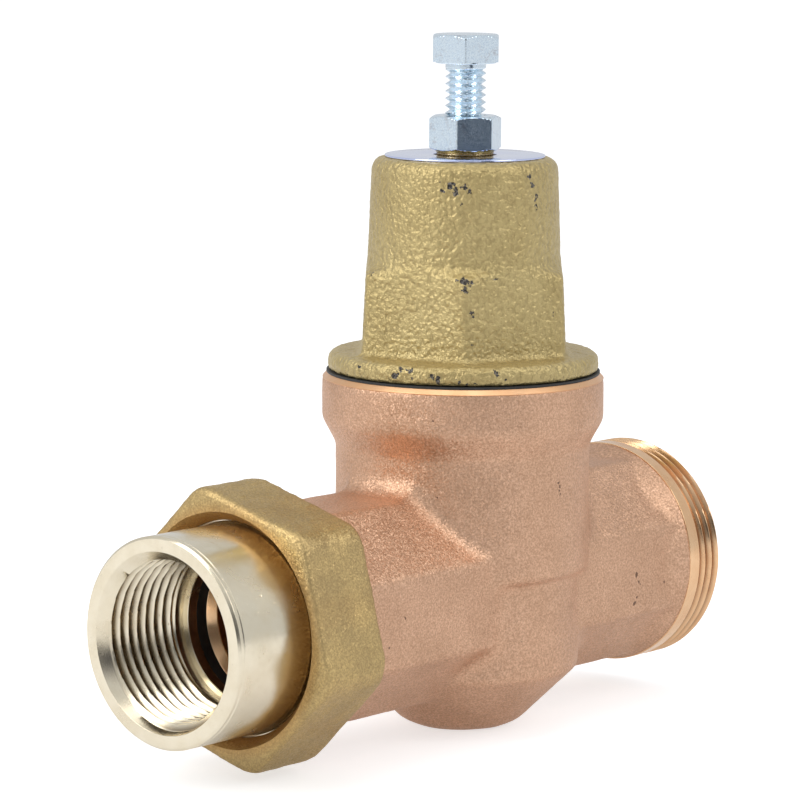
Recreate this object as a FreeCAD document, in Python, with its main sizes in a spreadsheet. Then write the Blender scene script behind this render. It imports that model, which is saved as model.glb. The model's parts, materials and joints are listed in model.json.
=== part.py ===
import FreeCAD, Part
import math
import os
import re
import Sketcher

# Pressure reducing valve, one inch size: a cast bronze body with a union inlet on -X and a male union
# thread outlet on +X, and a screwed-on spring bonnet on +Z. All lengths are millimetres. The origin is
# where the flow axis (X) meets the bonnet axis (Z).

SIZES = {
    # cast body
    "foot_r": 9.0, "foot_z": -28.3, "cone_low_r": 12.0, "cone_low_z": -27.0,
    "barrel_r": 23.3, "barrel_low_z": -16.0, "ledge_z": 4.0, "ledge_fall": 1.2,
    "neck_r": 25.0, "neck_top_z": 28.0, "collar_r": 27.7, "collar_low_z": 33.0,
    "rim_z": 42.0, "rim_chamfer": 0.9,
    "port_apothem": 20.3, "inlet_port_x": -50.6, "outlet_port_x": 45.7,
    "neck_slope_r": 20.3, "inlet_slope_x": 2.3, "outlet_slope_x": 5.5, "thread_run": 7.4,
    "inlet_end_x": -58.0, "outlet_end_x": 55.8, "end_chamfer": 0.8,
    "port_bore_r": 12.5, "port_mouth_r": 14.0, "port_bore_x": 24.0,
    "passage_half": 11.5, "passage_x": 25.0, "port_fillet": 4.0,
    "bonnet_bore_r": 23.6, "clamp_ledge_z": 32.0, "outlet_room_r": 20.0, "web_half": 2.0,
    "web_bore_r": 12.5, "inlet_room_r": 19.5, "inlet_room_z": -13.3, "sump_r": 8.5, "sump_z": -24.2,
    # union thread, 11.5 turns an inch, shared by both ports and the union nut
    "union_r": 22.6, "union_pitch": 2.2087, "union_depth": 1.25, "thread_gap": 0.1,
    "cut_over": 0.3,
    # union nut
    "nut_apothem": 24.1, "nut_back_x": -51.4, "nut_front_x": -67.9, "nut_corner": 4.5,
    "nut_front_slope": 2.0, "nut_back_slope": 1.0, "nut_face_r": 24.9, "nut_back_face_r": 26.1,
    "nut_clear_r": 32.0, "nut_minor_r": 21.9, "nut_lip_x": -64.1, "nut_lip_r": 20.4,
    "nut_mouth_r": 22.3, "nut_mouth_x": 2.6, "nut_crest_half": 1.0,
    "nut_root_half": 0.48,
    # union tailpiece and gasket
    "tail_end_x": -84.2, "tail_inner_x": -60.6, "tail_r": 19.8, "tail_collar_r": 21.2,
    "tail_collar_x": -64.0, "tail_flare_x": -66.2, "tail_flare_r": 20.1,
    "tail_chamfer": 0.45, "tail_line_x": 1.35, "tail_line_half": 0.18, "tail_line_depth": 0.16,
    "tail_mouth_r": 17.0, "tail_bore_r": 14.0, "tail_bore_x": -62.9, "pipe_minor_r": 15.15,
    "pipe_pitch": 2.2087, "pipe_depth": 1.35,
    "gasket_out_r": 20.9, "gasket_in_r": 14.0,
    # bonnet
    "skirt_r": 23.4, "skirt_z": 34.9, "flange_r": 26.6, "flange_low_z": 42.4, "flange_top_z": 46.2,
    "flange_round": 1.6, "dome_low_r": 19.4, "dome_mid_r": 19.0, "dome_mid_z": 62.0,
    "dome_top_r": 18.15, "dome_round": 2.35, "crown_z": 84.3,
    "bonnet_apothem": 19.85, "bonnet_taper": 2.6, "bonnet_hex_z": 63.7, "hex_slope_z": 2.4,
    "hex_slope_r": 23.1, "hex_clear_r": 26.0,
    "spring_room_r": 15.8, "spring_room_z": 80.0, "lift_room_r": 20.0, "lift_room_z": 40.0,
    "screw_hole_r": 4.03, "bonnet_turn": 41.0,
    "bonnet_gasket_in_r": 23.8, "bonnet_gasket_out_r": 26.9,
    "plate_r": 15.7, "plate_thick": 0.4, "plate_hole_r": 6.2,
    # adjusting screw, lock nut and washer: 5/16 inch, 18 turns an inch
    "screw_r": 3.97, "screw_pitch": 1.4111, "screw_depth": 0.87, "screw_tip_z": 71.05,
    "screw_point": 1.1, "screw_point_r": 2.0, "head_low_z": 102.8, "head_top_z": 108.1,
    "head_apothem": 6.35, "head_slope": 0.75, "head_face_r": 6.0, "head_washer_r": 5.9,
    "head_washer": 0.35, "screw_turn": 40.0, "hex_trim_r": 9.0,
    "lock_low_z": 85.5, "lock_top_z": 92.3, "lock_apothem": 6.35, "lock_slope": 0.5,
    "lock_face_r": 6.1, "lock_turn": 26.0,
    "washer_r": 5.75, "washer_hole_r": 4.1,
    # spring button and main spring
    "button_r": 14.6, "button_low_z": 70.5, "button_top_z": 73.0, "button_boss_r": 6.2,
    "button_boss_z": 74.4, "button_spigot_r": 8.6, "button_spigot_z": 67.6, "dimple_gap": 0.1,
    "spring_r": 11.6, "spring_wire_r": 1.6, "spring_low_z": 32.6, "spring_pitch": 5.6,
    # diaphragm stack
    "diaphragm_r": 23.3, "diaphragm_thick": 1.6, "diaphragm_dish_z": 29.0,
    "diaphragm_dish_r": 15.6, "diaphragm_rim_r": 19.7, "stem_hole_r": 3.05,
    "slip_in_r": 19.9, "slip_top_z": 34.9,
    "under_plate_r": 14.5, "under_plate_z": 27.4, "under_plate_edge": 0.8,
    "plate_cup_r": 15.2, "plate_rim_r": 14.0, "plate_rim_z": 34.2,
    "lock_washer_r": 6.4, "lock_washer_z": 33.5, "stem_nut_apothem": 5.55, "stem_nut_z": 38.2,
    "stem_nut_slope": 0.5, "stem_nut_face_r": 5.3,
    "stem_r": 3.0, "stem_low_z": -23.0, "stem_top_z": 39.6, "stem_chamfer": 0.5,
    # poppet, seat and cage
    "poppet_r": 9.0, "poppet_low_z": -11.0, "poppet_top_z": -5.3, "poppet_cup_z": -7.8,
    "poppet_neck_r": 5.6, "poppet_neck_z": -9.2, "disc_r": 8.2, "disc_top_z": -5.0,
    "disc_nut_apothem": 4.5, "disc_nut_low_z": -14.5, "disc_nut_slope": 0.4, "disc_nut_face_r": 4.3,
    "seat_r": 12.45, "seat_flange_r": 14.6, "seat_flange_low_z": 2.8, "seat_flange_top_z": 4.8,
    "orifice_r": 7.2, "orifice_top_r": 9.0, "seat_lip_r": 8.3, "seat_lip_width": 0.6, "seat_lip_z": -2.5,
    "seat_gasket_in_r": 12.7, "seat_gasket_out_r": 14.8,
    "cage_out_r": 11.2, "cage_in_r": 9.9, "cage_low_z": -21.2, "cage_floor_z": -19.4,
    "cage_guide_r": 3.1, "cage_window_low_z": -13.0, "cage_window_top_z": -3.6,
    "cage_window_half": 4.2, "cage_windows": 4.0,
    "screen_in_r": 11.5, "screen_out_r": 12.1, "screen_low_z": -20.4, "screen_top_z": -2.6,
    "slot_half": 0.55, "slot_low_z": -19.4, "slot_top_z": -4.2, "screen_slots": 24.0,
    "return_r": 6.6, "return_wire_r": 0.55, "return_pitch": 2.4,
}

H_AXIS = -1
V_AXIS = -2
FULL_TURN = 360.0
NUT_TURN = 15.0
NAME_PATTERN = r"[a-z][a-z_]*"

doc = FreeCAD.newDocument("pressure_reducing_valve")
sheet = doc.addObject("Spreadsheet::Sheet", "sizes")


def fill_sheet():
    """One row per driving dimension: its name, then its plain number with the name as alias."""
    for row, (alias, value) in enumerate(SIZES.items(), start=1):
        sheet.set(f"A{row}", alias)
        sheet.set(f"B{row}", str(value))
        sheet.setAlias(f"B{row}", alias)
    doc.recompute()


def number(text):
    """Value of a sum or difference of terms, each a product of sheet names and plain numbers."""
    total = 0.0
    for sign, term in re.findall(r"([+-]?)\s*([^+\s-][^+-]*)", text):
        product = -1.0 if sign == "-" else 1.0
        for factor in term.split("*"):
            factor = factor.strip()
            product *= getattr(sheet, factor) if factor[0].isalpha() else float(factor)
        total += product
    return total


def formula(text):
    """The same sum as an expression that reads the sheet."""
    return re.sub(NAME_PATTERN, lambda found: "sizes." + found.group(0), text)


def bind(item, path, text):
    """Ties one property of an object to the sheet."""
    item.setExpression(path, formula(text))


def flip(sign):
    return "-" if sign == "+" else "+"


def new_body(name):
    body = doc.addObject("PartDesign::Body", name)
    body.Label = name
    return body


def origin_feature(body, role):
    for feature in body.Origin.OriginFeatures:
        if feature.Role == role:
            return feature
    raise ValueError(role)


def new_sketch(body, plane="XZ_Plane", offset=None):
    """A sketch on one of the body's own origin planes, moved along the plane's normal by offset."""
    sketch = body.newObject("Sketcher::SketchObject", body.Name + "_sketch")
    sketch.AttachmentSupport = (origin_feature(body, plane), [""])
    sketch.MapMode = "FlatFace"
    if offset:
        bind(sketch, "AttachmentOffset.Base.z", offset)
    return sketch


def hold(sketch, line, kind, text, axis):
    """Fixes the start of a line across (DistanceX) or up (DistanceY) from the sketch's origin."""
    if text == "0":
        sketch.addConstraint(Sketcher.Constraint("PointOnObject", line, 1, axis))
        return
    index = sketch.addConstraint(Sketcher.Constraint(kind, -1, 1, line, 1, number(text)))
    bind(sketch, f"Constraints[{index}]", text)


def draw_outline(sketch, corners):
    """Closed outline of straight sides through corners, each given as (across, up)."""
    places = [FreeCAD.Vector(number(across), number(up), 0) for across, up in corners]
    first = sketch.GeometryCount
    count = len(corners)
    for i in range(count):
        sketch.addGeometry(Part.LineSegment(places[i], places[(i + 1) % count]), False)
    for i in range(count):
        following = first + (i + 1) % count
        sketch.addConstraint(Sketcher.Constraint("Coincident", first + i, 2, following, 1))
    for i, (across, up) in enumerate(corners):
        hold(sketch, first + i, "DistanceX", across, V_AXIS)
        hold(sketch, first + i, "DistanceY", up, H_AXIS)


def draw_polygon(sketch, apothem, sides, turn=0.0):
    """Regular polygon about the sketch's origin; turn is the angle of its first corner."""
    corners = []
    for i in range(sides):
        angle = math.radians(turn + i * FULL_TURN / sides)
        reach = 1.0 / math.cos(math.pi / sides)
        factors = (reach * math.cos(angle), reach * math.sin(angle))
        corners.append(tuple(
            "0" if abs(factor) < 1e-9 else f"{'-' if factor < 0 else ''}{apothem} * {abs(factor):.9f}"
            for factor in factors))
    draw_outline(sketch, corners)


def draw_circle(sketch, across, up, radius):
    centre = FreeCAD.Vector(number(across), number(up), 0)
    circle = sketch.addGeometry(Part.Circle(centre, FreeCAD.Vector(0, 0, 1), number(radius)), False)
    for kind, text, axis in (("DistanceX", across, V_AXIS), ("DistanceY", up, H_AXIS)):
        if text == "0":
            sketch.addConstraint(Sketcher.Constraint("PointOnObject", circle, 3, axis))
        else:
            index = sketch.addConstraint(Sketcher.Constraint(kind, -1, 1, circle, 3, number(text)))
            bind(sketch, f"Constraints[{index}]", text)
    index = sketch.addConstraint(Sketcher.Constraint("Radius", circle, number(radius)))
    bind(sketch, f"Constraints[{index}]", radius)


def settle(body, feature, before, grows):
    """Recomputes, and stops if the feature failed or left the volume as it was."""
    body.Tip = feature
    doc.recompute()
    after = body.Shape.Volume
    if "Invalid" in feature.State or "Error" in feature.State or not body.Shape.isValid():
        raise RuntimeError(f"{feature.Label} failed: {feature.State}")
    if (after > before) != grows or abs(after - before) < 1e-6:
        raise RuntimeError(f"{feature.Label} changed nothing: {before:.3f} to {after:.3f}")


def volume_of(body):
    return 0.0 if body.Shape.isNull() else body.Shape.Volume


def turned(body, axis, corners, grows=True):
    """Revolution or groove of an outline in the XZ plane, about X ("H_Axis") or Z ("V_Axis")."""
    before = volume_of(body)
    sketch = new_sketch(body)
    draw_outline(sketch, corners)
    kind = "PartDesign::Revolution" if grows else "PartDesign::Groove"
    feature = body.newObject(kind, body.Name + ("_turning" if grows else "_groove"))
    feature.Profile = sketch
    feature.ReferenceAxis = (sketch, [axis])
    feature.Angle = FULL_TURN
    settle(body, feature, before, grows)
    return feature


def prism(body, sketch, length, grows=True, backwards=False, taper=None):
    """Pad or pocket of a sketch by a length from the sheet."""
    before = volume_of(body)
    kind = "PartDesign::Pad" if grows else "PartDesign::Pocket"
    feature = body.newObject(kind, body.Name + ("_pad" if grows else "_pocket"))
    feature.Profile = sketch
    bind(feature, "Length", length)
    feature.Reversed = backwards
    if taper:
        bind(feature, "TaperAngle", taper)
    settle(body, feature, before, grows)
    return feature


def coil(body, sketch, axis, pitch, height, grows, backwards=False):
    """Right-handed helical sweep of a sketch's outline, added or cut."""
    before = volume_of(body)
    kind = "PartDesign::AdditiveHelix" if grows else "PartDesign::SubtractiveHelix"
    feature = body.newObject(kind, body.Name + ("_coil" if grows else "_thread"))
    feature.Profile = sketch
    feature.ReferenceAxis = (sketch, [axis])
    feature.Mode = 0
    bind(feature, "Pitch", pitch)
    bind(feature, "Height", height)
    feature.Reversed = backwards
    settle(body, feature, before, grows)
    return feature


def round_edges(body, radius, chosen):
    """Fillet on every edge of the body's tip that chosen(edge) accepts."""
    before = body.Shape.Volume
    names = [f"Edge{i}" for i, edge in enumerate(body.Shape.Edges, start=1) if chosen(edge)]
    base = body.Tip
    feature = body.newObject("PartDesign::Fillet", body.Name + "_fillet")
    feature.Base = (base, names)
    bind(feature, "Radius", radius)
    body.Tip = feature
    doc.recompute()
    if "Invalid" in feature.State or "Error" in feature.State or not body.Shape.isValid():
        raise RuntimeError(f"{feature.Label} failed on {len(names)} edges")
    if abs(body.Shape.Volume - before) < 1e-6:
        raise RuntimeError(f"{feature.Label} rounded nothing")


def repeat_round(body, feature, role, count):
    """Polar pattern of a feature about one of the body's origin axes."""
    before = body.Shape.Volume
    pattern = body.newObject("PartDesign::PolarPattern", body.Name + "_pattern")
    pattern.Originals = [feature]
    pattern.Axis = (origin_feature(body, role), [""])
    pattern.Angle = FULL_TURN
    bind(pattern, "Occurrences", count)
    settle(body, pattern, before, feature.TypeId == "PartDesign::Pad")


def ring_at(radius, height):
    """Chooses circular edges of a radius about Z at a height."""
    def chosen(edge):
        curve = edge.Curve
        return (isinstance(curve, Part.Circle) and abs(curve.Radius - number(radius)) < 1e-3
                and abs(curve.Center.z - number(height)) < 1e-3)
    return chosen


def along(axis_index):
    """Chooses straight edges parallel to an axis (0 for X, 2 for Z), draft allowed."""
    def chosen(edge):
        if not isinstance(edge.Curve, Part.Line):
            return False
        return abs(edge.tangentAt(edge.FirstParameter)[axis_index]) > 0.99
    return chosen


def ring(name, low, top, inner, outer):
    """Plain ring about Z."""
    body = new_body(name)
    turned(body, "V_Axis", [(inner, low), (outer, low), (outer, top), (inner, top)])
    return body


def trim_corners(body, axis, face, inward, slope, face_r, far_r):
    """Cuts the corners off a prism's end in a cone. face is the end's place along the axis, inward
    the sign that leads from it into the prism, and slope how far down the corners the cone reaches."""
    outward = flip(inward)
    reached = f"{face} {inward} {slope}"
    past = f"{face} {outward} {slope}"
    corners = [(face_r, face), (far_r, reached), (far_r, past), (face_r, past)]
    if axis == "H_Axis":
        corners = [(up, across) for across, up in corners]
    turned(body, axis, corners, grows=False)


def hex_prism(name, low, top, apothem, turn):
    """Hexagon bar about Z, turned by an angle of the body's placement."""
    body = new_body(name)
    sketch = new_sketch(body, "XY_Plane", low)
    draw_polygon(sketch, apothem, 6)
    prism(body, sketch, f"{top} - {low}")
    if turn:
        bind(body, "Placement.Rotation.Angle", turn)
    return body


def hex_nut(name, low, top, apothem, hole_r, slope, face_r, turn=None):
    """Hexagon nut about Z with both ends chamfered."""
    body = hex_prism(name, low, top, apothem, turn)
    trim_corners(body, "V_Axis", top, "-", slope, face_r, "hex_trim_r")
    trim_corners(body, "V_Axis", low, "+", slope, face_r, "hex_trim_r")
    turned(body, "V_Axis", [("0", low), (hole_r, low), (hole_r, top), ("0", top)], grows=False)
    return body


def union_port(body, inward, port_x, slope_x, end_x):
    """One port of the casting: eight flats, a round slope and the plain end of the union thread."""
    sketch = new_sketch(body, "YZ_Plane")
    draw_polygon(sketch, "port_apothem", 8, 22.5)
    backwards = number(port_x) < 0
    prism(body, sketch, f"-{port_x}" if backwards else port_x, backwards=backwards)
    turned(body, "H_Axis", [
        (end_x, "0"),
        (f"{port_x} {inward} {slope_x}", "0"),
        (f"{port_x} {inward} {slope_x}", "neck_slope_r"),
        (port_x, "union_r"),
        (f"{end_x} {inward} end_chamfer", "union_r"),
        (end_x, "union_r - end_chamfer"),
    ])


def union_thread(body, inward, end_x):
    """Helical groove in a port's end, started one pitch past the end face."""
    outward = flip(inward)
    start = f"{end_x} {outward} union_pitch"
    sketch = new_sketch(body)
    draw_outline(sketch, [
        (start, "union_r - union_depth"),
        (f"{start} + union_depth * 0.57735 + cut_over * 0.57735", "union_r + cut_over"),
        (f"{start} - union_depth * 0.57735 - cut_over * 0.57735", "union_r + cut_over"),
    ])
    coil(body, sketch, "H_Axis", "union_pitch", "thread_run + union_pitch", grows=False,
         backwards=inward == "-")


def port_bore(body, inward, end_x, bore_x):
    """Water way of one port, with a chamfered mouth."""
    turned(body, "H_Axis", [
        (end_x, "0"),
        (end_x, "port_mouth_r"),
        (f"{end_x} {inward} port_mouth_r {flip(inward)} port_bore_r", "port_bore_r"),
        (bore_x, "port_bore_r"),
        (bore_x, "0"),
    ], grows=False)


def port_root(edge):
    """Chooses the edges where the ports' flats run into the barrel, leaving out seams."""
    centre = edge.CenterOfMass
    extent = edge.BoundBox
    seam = isinstance(edge.Curve, Part.Line) and abs(centre.y) < number("port_fillet")
    return (len(edge.Vertexes) == 2 and not seam
            and extent.XLength < number("neck_r")
            and number("foot_r") < abs(centre.x) < number("collar_r")
            and abs(centre.z) < number("port_apothem") + number("ledge_fall"))


def passage(body, low, top, backwards):
    """Slot from a port's bore into the room on its side of the seat web."""
    sketch = new_sketch(body, "YZ_Plane")
    draw_outline(sketch, [
        ("-passage_half", low), ("passage_half", low), ("passage_half", top), ("-passage_half", top)])
    prism(body, sketch, "passage_x", grows=False, backwards=backwards)


def make_valve_body():
    """Bronze casting: barrel with collar, two ports, seat web, two rooms and the bonnet's bore."""
    body = new_body("valve_body")
    turned(body, "V_Axis", [
        ("0", "foot_z"),
        ("foot_r", "foot_z"),
        ("cone_low_r", "cone_low_z"),
        ("barrel_r", "barrel_low_z"),
        ("barrel_r", "ledge_z - ledge_fall"),
        ("neck_r", "ledge_z"),
        ("neck_r", "neck_top_z"),
        ("collar_r", "collar_low_z"),
        ("collar_r", "rim_z - rim_chamfer"),
        ("collar_r - rim_chamfer", "rim_z"),
        ("0", "rim_z"),
    ])
    union_port(body, "+", "inlet_port_x", "inlet_slope_x", "inlet_end_x")
    union_port(body, "-", "outlet_port_x", "outlet_slope_x", "outlet_end_x")
    round_edges(body, "port_fillet", port_root)
    turned(body, "V_Axis", [
        ("0", "rim_z"),
        ("0", "web_half"),
        ("outlet_room_r", "web_half"),
        ("outlet_room_r", "clamp_ledge_z"),
        ("bonnet_bore_r", "clamp_ledge_z"),
        ("bonnet_bore_r", "rim_z"),
    ], grows=False)
    turned(body, "V_Axis", [
        ("0", "sump_z"),
        ("sump_r", "sump_z"),
        ("inlet_room_r", "inlet_room_z"),
        ("inlet_room_r", "-web_half"),
        ("web_bore_r", "-web_half"),
        ("web_bore_r", "web_half"),
        ("0", "web_half"),
    ], grows=False)
    port_bore(body, "+", "inlet_end_x", "-port_bore_x")
    port_bore(body, "-", "outlet_end_x", "port_bore_x")
    passage(body, "-passage_half", "-web_half", backwards=True)
    passage(body, "web_half", "passage_half", backwards=False)
    union_thread(body, "+", "inlet_end_x")
    union_thread(body, "-", "outlet_end_x")
    return body


def make_union_nut():
    """Cast hexagon nut on the inlet: threaded from the back, with a lip that pulls the tailpiece in."""
    body = new_body("union_nut")
    sketch = new_sketch(body, "YZ_Plane", "nut_back_x")
    draw_polygon(sketch, "nut_apothem", 6, NUT_TURN)
    prism(body, sketch, "nut_back_x - nut_front_x", backwards=True)
    round_edges(body, "nut_corner", along(0))
    trim_corners(body, "H_Axis", "nut_front_x", "+", "nut_front_slope", "nut_face_r", "nut_clear_r")
    trim_corners(body, "H_Axis", "nut_back_x", "-", "nut_back_slope", "nut_back_face_r", "nut_clear_r")
    turned(body, "H_Axis", [
        ("nut_back_x", "0"),
        ("nut_back_x", "nut_minor_r"),
        ("nut_lip_x", "nut_minor_r"),
        ("nut_lip_x", "nut_lip_r"),
        ("nut_front_x + nut_mouth_x", "nut_lip_r"),
        ("nut_front_x", "nut_mouth_r"),
        ("nut_front_x", "0"),
    ], grows=False)
    # the nut's groove lies half a pitch from the port's, which starts one pitch past the end face
    sketch = new_sketch(body)
    start = "inlet_end_x + union_pitch * 3.5"
    draw_outline(sketch, [
        (f"{start} - nut_root_half", "union_r + thread_gap"),
        (f"{start} + nut_root_half", "union_r + thread_gap"),
        (f"{start} + nut_crest_half", "nut_minor_r - cut_over"),
        (f"{start} - nut_crest_half", "nut_minor_r - cut_over"),
    ])
    coil(body, sketch, "H_Axis", "union_pitch", "union_pitch * 4.5", grows=False, backwards=True)
    return body


def make_union_tailpiece():
    """Turned tailpiece with a collar for the nut's lip and a pipe thread inside its mouth."""
    body = new_body("union_tailpiece")
    turned(body, "H_Axis", [
        ("tail_end_x", "tail_mouth_r"),
        ("tail_end_x", "tail_r - tail_chamfer"),
        ("tail_end_x + tail_chamfer", "tail_r"),
        ("tail_end_x + tail_line_x - tail_line_half", "tail_r"),
        ("tail_end_x + tail_line_x", "tail_r - tail_line_depth"),
        ("tail_end_x + tail_line_x + tail_line_half", "tail_r"),
        ("tail_flare_x", "tail_r"),
        ("tail_collar_x", "tail_flare_r"),
        ("tail_collar_x", "tail_collar_r"),
        ("tail_inner_x", "tail_collar_r"),
        ("tail_inner_x", "tail_bore_r"),
        ("tail_bore_x", "tail_bore_r"),
        ("tail_bore_x - pipe_minor_r + tail_bore_r", "pipe_minor_r"),
        ("tail_end_x + tail_mouth_r - pipe_minor_r", "pipe_minor_r"),
    ])
    sketch = new_sketch(body)
    start = "tail_end_x"
    draw_outline(sketch, [
        (start, "pipe_minor_r + pipe_depth"),
        (f"{start} + pipe_depth * 0.57735 + cut_over * 0.57735", "pipe_minor_r - cut_over"),
        (f"{start} - pipe_depth * 0.57735 - cut_over * 0.57735", "pipe_minor_r - cut_over"),
    ])
    coil(body, sketch, "H_Axis", "pipe_pitch", "tail_bore_x - tail_end_x - pipe_pitch", grows=False)
    return body


def make_union_gasket():
    """Flat ring between the port's end face and the tailpiece."""
    body = new_body("union_gasket")
    turned(body, "H_Axis", [
        ("inlet_end_x", "gasket_in_r"),
        ("tail_inner_x", "gasket_in_r"),
        ("tail_inner_x", "gasket_out_r"),
        ("inlet_end_x", "gasket_out_r"),
    ])
    return body


def make_bonnet():
    """Cast iron spring housing: skirt in the body's bore, flange, hexagon and tapered dome."""
    body = new_body("bonnet")
    turned(body, "V_Axis", [
        ("0", "skirt_z"),
        ("skirt_r", "skirt_z"),
        ("skirt_r", "flange_low_z"),
        ("flange_r", "flange_low_z"),
        ("flange_r", "flange_top_z"),
        ("dome_low_r", "flange_top_z"),
        ("dome_mid_r", "dome_mid_z"),
        ("dome_top_r", "crown_z"),
        ("0", "crown_z"),
    ])
    round_edges(body, "flange_round", ring_at("flange_r", "flange_top_z"))
    round_edges(body, "dome_round", ring_at("dome_top_r", "crown_z"))
    sketch = new_sketch(body, "XY_Plane", "flange_top_z")
    draw_polygon(sketch, "bonnet_apothem", 6)
    prism(body, sketch, "bonnet_hex_z - flange_top_z", taper="0 - bonnet_taper")
    turned(body, "V_Axis", [
        ("dome_mid_r", "bonnet_hex_z"),
        ("hex_slope_r", "bonnet_hex_z - hex_slope_z"),
        ("hex_clear_r", "bonnet_hex_z - hex_slope_z"),
        ("hex_clear_r", "bonnet_hex_z + hex_slope_z"),
        ("dome_mid_r", "bonnet_hex_z + hex_slope_z"),
    ], grows=False)
    turned(body, "V_Axis", [
        ("0", "skirt_z"),
        ("lift_room_r", "skirt_z"),
        ("lift_room_r", "lift_room_z"),
        ("spring_room_r", "lift_room_z"),
        ("spring_room_r", "spring_room_z"),
        ("screw_hole_r", "spring_room_z"),
        ("screw_hole_r", "crown_z"),
        ("0", "crown_z"),
    ], grows=False)
    bind(body, "Placement.Rotation.Angle", "bonnet_turn")
    return body


def make_adjusting_screw():
    """Hexagon head screw with its full thread and a turned point that bears in the spring button."""
    body = hex_prism("adjusting_screw", "head_low_z", "head_top_z", "head_apothem", "screw_turn")
    trim_corners(body, "V_Axis", "head_top_z", "-", "head_slope", "head_face_r", "hex_trim_r")
    turned(body, "V_Axis", [
        ("0", "screw_tip_z"),
        ("screw_point_r", "screw_tip_z"),
        ("screw_r", "screw_tip_z + screw_point"),
        ("screw_r", "head_low_z - head_washer"),
        ("head_washer_r", "head_low_z - head_washer"),
        ("head_washer_r", "head_low_z"),
        ("0", "head_low_z"),
    ])
    sketch = new_sketch(body)
    start = "screw_tip_z - screw_pitch"
    draw_outline(sketch, [
        ("screw_r - screw_depth", start),
        ("screw_r + cut_over", f"{start} + screw_depth * 0.57735 + cut_over * 0.57735"),
        ("screw_r + cut_over", f"{start} - screw_depth * 0.57735 - cut_over * 0.57735"),
    ])
    coil(body, sketch, "V_Axis", "screw_pitch", "head_low_z - screw_tip_z", grows=False)
    return body


def make_spring_button():
    """Upper spring plate: dimple for the screw's point above, spigot inside the spring below."""
    body = new_body("spring_button")
    turned(body, "V_Axis", [
        ("0", "button_spigot_z"),
        ("button_spigot_r", "button_spigot_z"),
        ("button_spigot_r", "button_low_z"),
        ("button_r", "button_low_z"),
        ("button_r", "button_top_z"),
        ("button_boss_r", "button_top_z"),
        ("button_boss_r", "button_boss_z"),
        ("0", "button_boss_z"),
    ])
    turned(body, "V_Axis", [
        ("0", "screw_tip_z"),
        ("screw_point_r", "screw_tip_z"),
        ("screw_r + dimple_gap", "screw_tip_z + screw_point"),
        ("screw_r + dimple_gap", "button_boss_z"),
        ("0", "button_boss_z"),
    ], grows=False)
    return body


def make_spring(name, mean_r, wire_r, pitch, low, top):
    """Compression coil about Z with both ends ground flat."""
    body = new_body(name)
    sketch = new_sketch(body)
    draw_circle(sketch, mean_r, low, wire_r)
    coil(body, sketch, "V_Axis", pitch, f"{top} - {low}", grows=True)
    for end, outward in ((low, "-"), (top, "+")):
        turned(body, "V_Axis", [
            ("0", end),
            (f"{mean_r} + {wire_r} + {wire_r}", end),
            (f"{mean_r} + {wire_r} + {wire_r}", f"{end} {outward} {wire_r} {outward} {wire_r}"),
            ("0", f"{end} {outward} {wire_r} {outward} {wire_r}"),
        ], grows=False)
    return body


def make_diaphragm():
    """Dished rubber sheet: flat rim under the slip ring, cone, and flat middle on its plate."""
    body = new_body("diaphragm")
    turned(body, "V_Axis", [
        ("stem_hole_r", "diaphragm_dish_z"),
        ("diaphragm_dish_r", "diaphragm_dish_z"),
        ("diaphragm_rim_r", "clamp_ledge_z"),
        ("diaphragm_r", "clamp_ledge_z"),
        ("diaphragm_r", "clamp_ledge_z + diaphragm_thick"),
        ("diaphragm_rim_r", "clamp_ledge_z + diaphragm_thick"),
        ("diaphragm_dish_r", "diaphragm_dish_z + diaphragm_thick"),
        ("stem_hole_r", "diaphragm_dish_z + diaphragm_thick"),
    ])
    return body


def make_under_plate():
    """Washer below the diaphragm, with its outer edge eased."""
    body = new_body("diaphragm_washer")
    turned(body, "V_Axis", [
        ("stem_hole_r", "under_plate_z"),
        ("under_plate_r - under_plate_edge", "under_plate_z"),
        ("under_plate_r", "under_plate_z + under_plate_edge"),
        ("under_plate_r", "diaphragm_dish_z"),
        ("stem_hole_r", "diaphragm_dish_z"),
    ])
    return body


def make_pressure_plate():
    """Cup on top of the diaphragm that carries the main spring inside its rim."""
    body = new_body("pressure_plate")
    turned(body, "V_Axis", [
        ("stem_hole_r", "diaphragm_dish_z + diaphragm_thick"),
        ("plate_cup_r", "diaphragm_dish_z + diaphragm_thick"),
        ("plate_cup_r", "plate_rim_z"),
        ("plate_rim_r", "plate_rim_z"),
        ("plate_rim_r", "spring_low_z"),
        ("stem_hole_r", "spring_low_z"),
    ])
    return body


def make_stem():
    """Rod that ties the diaphragm stack to the poppet; its foot slides in the cage's guide."""
    body = new_body("stem")
    turned(body, "V_Axis", [
        ("0", "stem_low_z"),
        ("stem_r - stem_chamfer", "stem_low_z"),
        ("stem_r", "stem_low_z + stem_chamfer"),
        ("stem_r", "stem_top_z - stem_chamfer"),
        ("stem_r - stem_chamfer", "stem_top_z"),
        ("0", "stem_top_z"),
    ])
    return body


def make_poppet():
    """Holder of the rubber seat disc: a shallow cup open to the seat above."""
    body = new_body("poppet")
    turned(body, "V_Axis", [
        ("stem_r", "poppet_low_z"),
        ("poppet_neck_r", "poppet_low_z"),
        ("poppet_neck_r", "poppet_neck_z"),
        ("poppet_r", "poppet_neck_z"),
        ("poppet_r", "poppet_top_z"),
        ("disc_r", "poppet_top_z"),
        ("disc_r", "poppet_cup_z"),
        ("stem_r", "poppet_cup_z"),
    ])
    return body


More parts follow.
